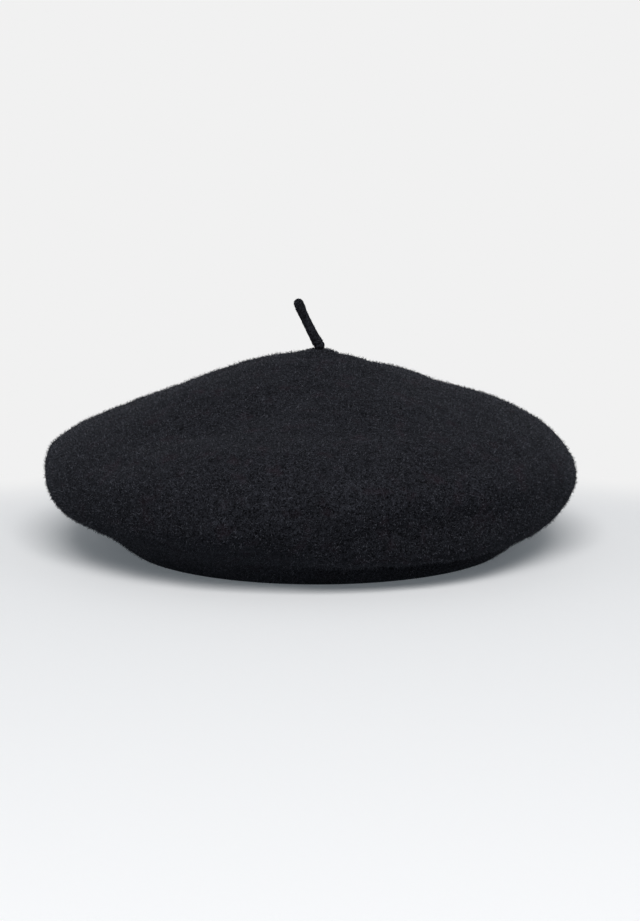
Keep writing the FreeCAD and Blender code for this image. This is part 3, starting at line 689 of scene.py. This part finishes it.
def makeLeather():
    # Vegetable-tanned sheepskin sweatband, dyed black and plated: a small pebbled grain, satin
    # polish, browner where its edges rub. Sizes in mm; a grain is its size, strength and depth.
    hide = {"dye": "#141417", "worn": "#3b312c", "rubbed": 1.6, "polish": (0.34, 0.56),
            "pebble": (0.9, 0.45, 0.15), "pore": (0.35, 0.3, 0.05), "crease": (7, 0.4, 0.5)}
    material, tree = newMaterial("dyedSheepskin")
    place = objectPlace(tree)
    pebbles = addNode(tree, "ShaderNodeTexVoronoi",
                      {"Scale": 1 / (hide["pebble"][0] * mm), "Vector": place}).outputs["Distance"]
    pores = noise(tree, place, hide["pore"][0], 3)
    creases = noise(tree, place, hide["crease"][0], 5)
    normal = None
    for grain, kind in ((pebbles, "pebble"), (pores, "pore"), (creases, "crease")):
        normal = bumps(tree, grain, *hide[kind][1:], normal)
    height = addNode(tree, "ShaderNodeSeparateXYZ", {"Vector": place}).outputs["Z"]
    low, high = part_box("sweatband")
    rubs = [stretch(tree, height, edge + inward * hide["rubbed"] * mm, edge,
                    interpolation_type="SMOOTHSTEP")
            for edge, inward in ((low[2], 1), (high[2], -1))]
    worn = combine(tree, "MULTIPLY", combine(tree, "MAXIMUM", *rubs), creases)
    colour = blend(tree, linearColour(hide["dye"]), linearColour(hide["worn"]), worn)
    return finished(material, {"Base Color": colour, "Normal": normal,
                               "Roughness": stretch(tree, creases, *noiseSpan, *hide["polish"])})


def makeWoven(name, hexCode, warp, weft, roughness, ribDepth):
    # cloth that follows its piece's own map: warp and weft are thread spacings, ribDepth the
    # depth between threads, slub the length of the threads' thick and thin parts, all in mm
    yarn = {"slub": 2.5, "shade": (0.75, 1.25), "wander": 0.4, "strength": 0.6}
    material, tree = newMaterial(name)
    flat = addNode(tree, "ShaderNodeUVMap", uv_map="cloth").outputs["UV"]
    # a wave texture of scale 1 has a wave every 2 pi / 20 metres
    threads = [addNode(tree, "ShaderNodeTexWave",
                       {"Scale": fullTurn / (20 * spacing * mm), "Distortion": yarn["wander"],
                        "Detail": 1.0, "Vector": flat}, bands_direction=way).outputs["Fac"]
               for spacing, way in ((warp, "X"), (weft, "Y"))]
    slubs = noise(tree, flat, yarn["slub"], 4)
    colour = shaded(tree, linearColour(hexCode), stretch(tree, slubs, *noiseSpan, *yarn["shade"]))
    return finished(material, {
        "Base Color": colour, "Roughness": roughness, "Specular IOR Level": 0.3,
        "Sheen Weight": 0.1, "Anisotropic": 0.4,
        "Normal": bumps(tree, combine(tree, "ADD", *threads), yarn["strength"], ribDepth)})


liningSatin = makeWoven("viscoseSatin", "#131318", 0.30, 0.45, 0.44, 0.05)
grosgrain = makeWoven("grosgrainRibbon", "#0f0f13", 0.70, 0.25, 0.5, 0.16)
labelTape = makeWoven("wovenLabelTape", "#d9d6cd", 0.30, 0.30, 0.7, 0.06)

lining = {
    # satin lining, in mm: how far its outer face lies inside the felt, the CAD's wall and the
    # share of it that the cloth takes, slack at the peak, and a radius for its flat map
    "inset": 4.0, "wall": 0.5, "clothShare": 0.6, "slack": 2.4, "mapRadius": 130, "columns": 736,
    # gathers at the rim seam and slow folds: how many and how deep; slow sines of the turn keep
    # them uneven, each given by waves, phase and height
    "gathers": (92, 0.9), "gathersWander": ((5, 0.7, 0.9), (11, 0, 0.6)),
    "folds": (13, 1.1), "foldsWander": ((3, 0, 1.5),), "foldsTwist": 40,
    # how far from the rim the gathers reach in the crown and in the band, and rows of each
    "crownReach": 16, "crownRows": 46, "bandReach": 14, "bandRows": 18,
    # they die out over the last mm to the peak; in the band they grow over some mm, from a
    # place below the under ring and from a least share of their depth
    "crownFades": 40, "bandFades": 12, "bandFrom": 4, "bandLeast": 0.15,
    "seamGap": 1, "turning": 6, "ease": 1.03,  # between the two, at the hem, and in the cut
}


def wandering(kind, turn):
    return sum(height * np.sin(waves * turn + phase) for waves, phase, height in lining[kind])


def gather(along, turn, reach):
    # how far the gathers push inwards: deepest at the rim seam, fading over reach mm, where
    # slow folds take over
    near = np.exp(-np.abs(along - rimPlace) / reach)
    count, depth = lining["gathers"]
    small = depth * near * (0.5 + 0.5 * np.cos(count * turn + wandering("gathersWander", turn)))
    count, depth = lining["folds"]
    wander = wandering("foldsWander", turn) + along / lining["foldsTwist"]
    slow = depth * (1 - near) * (0.5 + 0.5 * np.cos(count * turn + wander))
    return small + slow


def liningShell(name, node, alongs, pushIn, closed):
    # two faces of a thin cloth, joined at their edges; a closed one ends in a point at the peak
    turn = evenTurns(lining["columns"])[None, :]
    along = alongs[:, None]
    outer, inner = (feltSkin(along, turn, lining["inset"] + pushIn(along, turn) + face)[0]
                    for face in (0.0, lining["wall"] * lining["clothShare"]))
    rows, count = len(alongs), lining["columns"]
    points = np.concatenate([outer, inner[::-1]]).reshape(-1, 3)
    faces = [gridFaces(2 * rows, count, closedRows=not closed)]
    cloth = np.stack(np.broadcast_arrays(turn * lining["mapRadius"], along), axis=-1)
    cloth = np.concatenate([cloth, cloth[::-1]]).reshape(-1, 2) * mm
    if closed:
        # the open edge of both faces lies first and last in the grid; the peak is between them
        ring = np.arange(count)
        last, top, under = (ring + row * count for row in (2 * rows - 1, rows - 1, rows))
        edge = np.stack([np.roll(ring, -1), ring, last, np.roll(last, -1)], axis=1)
        faces = [gridFaces(rows, count), gridFaces(rows, count) + rows * count, edge,
                 fan(top, len(points)), fan(under, len(points) + 1, reverse=True)]
        points = np.concatenate([points, [outer[-1].mean(axis=0), inner[-1].mean(axis=0)]])
        cloth = np.concatenate([cloth, [[0, alongs[-1] * mm]] * 2])
    piece = newPiece(name, points, faces, "beret", liningSatin, cloth=cloth)
    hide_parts(node)


def makeLinings():
    gap, turning = lining["seamGap"], lining["turning"]

    def crownPush(along, turn):
        share = (along - rimPlace) / (feltLength - rimPlace)
        fade = np.clip((feltLength - along) / lining["crownFades"], 0, 1)
        return lining["slack"] * share ** 2 + gather(along, turn, lining["crownReach"]) * fade

    def bandPush(along, turn):
        up = (along - underPlace + lining["bandFrom"]) / lining["bandFades"]
        return gather(along, turn, lining["bandReach"]) * np.clip(up, lining["bandLeast"], 1)

    liningShell("lining_crown", "lining_tip",
                np.linspace(rimPlace + gap, feltLength, lining["crownRows"]), crownPush, True)
    liningShell("lining_band", "lining_side",
                np.linspace(underPlace - turning, rimPlace - gap, lining["bandRows"]), bandPush,
                False)


# ribbon and tape: points round a quarter turn, along the whole way and across, how much
# thinner the edges are, and the share of its ply that a thickness takes, for a hair of air
strip = {"cornerPoints": 9, "steps": 96, "stations": 9, "edgeThins": 0.75, "fill": 0.94}


def ribbonLoop(name, centre, ways, size, corner, ply, half, wears, shape=None, layers=1):
    # a ribbon closed on itself round a rectangle of that size with round corners, lying in the
    # plane of two ways; half is half its width, shape may narrow it along the way, and a ribbon
    # of two layers was folded along its middle; wears is body, slot and material, and the slot
    # is not used
    across = np.cross(*ways)
    reach = np.array(size) / 2 - ply / 2
    corner = min(corner, reach.min())
    path, facing = [], []
    for quarter, signs in enumerate(((1, 1), (-1, 1), (-1, -1), (1, -1))):
        angle = np.radians(np.linspace(0, 90, strip["cornerPoints"]) + quarter * 90)
        way = np.stack([np.cos(angle), np.sin(angle)], axis=1)
        path.append(np.array(signs) * (reach - corner) + corner * way)
        facing.append(way)
    path, facing = (np.concatenate([*part, part[0][:1]]) for part in (path, facing))
    around = np.concatenate([[0], np.cumsum(np.linalg.norm(np.diff(path, axis=0), axis=1))])
    even = np.linspace(0, around[-1], strip["steps"], endpoint=False)
    path, facing = (np.stack([np.interp(even, around, part[:, i]) for i in (0, 1)], axis=1)
                    for part in (path, facing))
    width = half * np.ones(len(path))
    if shape:
        path, width = shape(path, width, reach)
    plane, normal = path @ np.stack(ways), unitVectors(facing) @ np.stack(ways)
    stations = np.linspace(-1, 1, strip["stations"])
    rim = np.concatenate([stations, stations[::-1]])
    fullness = np.sqrt(1 - strip["edgeThins"] * stations ** 8)
    thick = np.concatenate([fullness, -fullness[::-1]]) * ply / 2 / layers * strip["fill"]
    faces, points, cloth = [], [], []
    for layer in range(layers):
        lift = ply * ((layer + 0.5) / layers - 0.5)
        points.append((np.array(centre) + plane[:, None] + normal[:, None] * (thick + lift)[:, None]
                       + across * (rim * width[:, None])[..., None]).reshape(-1, 3))
        flat = np.stack(np.broadcast_arrays(even[:, None], rim * half), axis=-1)
        cloth.append(flat.reshape(-1, 2) * mm)
        faces.append(gridFaces(len(path), len(rim), closedRows=True) + layer * len(points[0]))
    body, slot, material = wears
    piece = newPiece(name, np.concatenate(points), faces, body, material,
                     cloth=np.concatenate(cloth))
    return piece


def makeBow():
    # a flat two-loop bow, in mm: each loop narrows and flattens to where the knot pinches it,
    # by shares of its size and powers of the way out from the knot
    bow = {"gap": 0.05, "ply": 0.42, "knotCorner": 1.3, "knotPly": 0.48,
           "flattest": 0.35, "opens": 0.6, "early": 0.3, "narrowest": 0.80, "widens": 0.8}
    wears = "beret", "ribbon", grosgrain
    low, high, middle = boxMm("bow_loops")
    deep, long = high[1] - low[1], (high[0] - low[0]) / 2 - bow["gap"]
    for side, name in ((-1, "bow_loop_left"), (1, "bow_loop_right")):

        def pinch(path, width, reach):
            outward = side * path[:, 0] / reach[0] * 0.5 + 0.5  # 0 at the knot, 1 at the end
            opened = outward ** bow["opens"] * (1 + bow["early"] - bow["early"] * outward)
            opened = opened.clip(0, 1)
            depth = path[:, 1] * (bow["flattest"] + (1 - bow["flattest"]) * opened)
            narrow = bow["narrowest"] + (1 - bow["narrowest"]) * outward ** bow["widens"]
            return np.stack([path[:, 0], depth], axis=1), width * narrow

        centre = middle + xWay * side * (long / 2 + bow["gap"])
        loop = ribbonLoop(name, centre, (xWay, yWay), (long, deep), deep / 2, bow["ply"],
                          (high[2] - low[2]) / 2, wears, pinch)
        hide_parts("bow_loops")
    low, high, middle = boxMm("bow_wrap")
    knot = ribbonLoop("bow_knot", middle, (yWay, zWay), (high - low)[1:], bow["knotCorner"],
                      bow["knotPly"], (high[0] - low[0]) / 2, wears, layers=2)
    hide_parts("bow_wrap")


def makeLabels():
    # one length of woven tape folded in two: a sewn end, and a free end that hangs down
    tape = {"corner": 0.3, "ply": 0.27}
    for name, node, body, held, rests in (
            ("label_sewn_end", "label_tab", "beret", "folded", "sweatband"),
            ("label_free_end", "care_label", "care_label", "hung", "label_tab")):
        low, high, middle = boxMm(node)
        size = high[2] - low[2], high[0] - low[0]
        piece = ribbonLoop(name, middle, (zWay, xWay), size, tape["corner"], tape["ply"],
                           (high[1] - low[1]) / 2, (body, "label_tape", labelTape))
        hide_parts(node)


makeStitches()
makeYarn()
dress("sweatband", makeLeather())
makeLinings()
makeBow()
makeLabels()
print("sweatband, linings, bow, labels and thread")


studio = {
    # camera: degrees above level, metres, and millimetres of lens and film
    "elevation": 10.5, "distance": 1.577, "aimHeight": 0.050, "lens": 117.26, "sensor": 36.0,
    "shift": (0.0095, -0.0119), "clip": (0.05, 50),
    # the board's paint as the camera sees it and as it lights the felt, the backdrop that it
    # fades to, the fade's start and end along Y, and the distance from the beret where the
    # fade begins and is whole, so that the shadow is kept
    "floor": "#fbfafa", "bounce": "#84868a", "backdrop": "#f1f1f1", "floorSize": 12.0,
    "floorFades": (0.05, 0.18), "shadowKept": (0.15, 0.25),
    # the paint's roughness, and its grains per mm, their strength and their depth
    "paintRoughness": 0.75, "paintGrains": 0.9, "paintBumps": (0.15, 0.4),
    # colour and strength of the room's light, and of painted light on the board: a faint
    # glow of its own, no lamp, which lifts its shadows
    "skyFill": ("#e4e9ee", 0.20), "paintedShadowLift": ("#cfdbe4", 0.15),
    # one wide soft lamp above the front: size in m, power in W, place and aim
    "lampSize": (2.2, 1.4), "lampPower": 76, "lampPlace": (0.05, -2.10, 2.35),
    "lampAim": (0, 0, 0.04),
}


def makeCamera():
    data = bpy.data.cameras.new("camera")
    camera = addObject("camera", data)
    data.sensor_width, data.lens = studio["sensor"], studio["lens"]
    data.shift_x, data.shift_y = studio["shift"]
    data.clip_start, data.clip_end = studio["clip"]
    tilt = math.radians(studio["elevation"])
    back = Vector((0, -math.cos(tilt), math.sin(tilt)))
    camera.location = Vector((0, 0, studio["aimHeight"])) + back * studio["distance"]
    camera.rotation_euler = (-back).to_track_quat("-Z", "Y").to_euler()
    bpy.context.scene.camera = camera


def makeLamp():
    data = bpy.data.lights.new("frontTop", "AREA")
    data.shape, data.energy = "RECTANGLE", studio["lampPower"]
    data.size, data.size_y = studio["lampSize"]
    lamp = addObject("frontTop", data)
    lamp.location = studio["lampPlace"]
    way = Vector(studio["lampAim"]) - lamp.location
    lamp.rotation_euler = way.to_track_quat("-Z", "Y").to_euler()


def makeBoard():
    # painted white board under the beret, which fades into an even pale backdrop
    material, tree = newMaterial("paintedBoard")
    place = objectPlace(tree)
    shown = addNode(tree, "ShaderNodeLightPath").outputs["Is Camera Ray"]
    colour = blend(tree, linearColour(studio["bounce"]), linearColour(studio["floor"]), shown)
    # painted light: the board glows a little, which lightens the shadows on it
    glowHex, glowStrength = studio["paintedShadowLift"]
    grain = noise(tree, place, 1 / studio["paintGrains"], 3)
    paint = addNode(tree, "ShaderNodeBsdfPrincipled", {
        "Base Color": colour, "Roughness": studio["paintRoughness"],
        "Normal": bumps(tree, grain, *studio["paintBumps"]),
        "Emission Color": linearColour(glowHex), "Emission Strength": glowStrength})
    depth = addNode(tree, "ShaderNodeSeparateXYZ", {"Vector": place}).outputs["Y"]
    away = addNode(tree, "ShaderNodeVectorMath", {0: place}, operation="LENGTH").outputs["Value"]
    fade, clear = (stretch(tree, distance, *studio[kind], interpolation_type="SMOOTHSTEP")
                   for distance, kind in ((depth, "floorFades"), (away, "shadowKept")))
    share = combine(tree, "MULTIPLY", combine(tree, "MULTIPLY", fade, clear), shown)
    glow = addNode(tree, "ShaderNodeEmission", {"Color": linearColour(studio["backdrop"])})
    sweep = addNode(tree, "ShaderNodeMixShader",
                    {0: share, 1: paint.outputs["BSDF"], 2: glow.outputs[0]})
    addNode(tree, "ShaderNodeOutputMaterial", {"Surface": sweep.outputs[0]})
    mesh = bpy.data.meshes.new("floor")
    half = studio["floorSize"] / 2
    corners = (-half, -half, 0), (half, -half, 0), (half, half, 0), (-half, half, 0)
    mesh.from_pydata(corners, [], [(0, 1, 2, 3)])
    floor = addObject("floor", mesh)
    mesh.materials.append(material)


def makeWorld():
    # dim even light from the room; camera, gloss and glass see a pale backdrop
    world = bpy.data.worlds.new("studio")
    world.use_nodes = True
    bpy.context.scene.world = world
    tree = world.node_tree
    tree.nodes.clear()
    ways = addNode(tree, "ShaderNodeLightPath").outputs
    seen = combine(tree, "MAXIMUM", ways["Is Camera Ray"], ways["Is Glossy Ray"])
    seen = combine(tree, "MAXIMUM", seen, ways["Is Transmission Ray"])
    fill, shown = (addNode(tree, "ShaderNodeBackground",
                           {"Color": linearColour(hexCode), "Strength": strength}).outputs[0]
                   for hexCode, strength in (studio["skyFill"], (studio["backdrop"], 1.0)))
    mix = addNode(tree, "ShaderNodeMixShader", {0: seen, 1: fill, 2: shown})
    addNode(tree, "ShaderNodeOutputWorld", {"Surface": mix.outputs[0]})


makeBoard()
makeWorld()
makeLamp()
makeCamera()
bpy.context.scene.view_settings.view_transform = "Standard"
print("studio set")
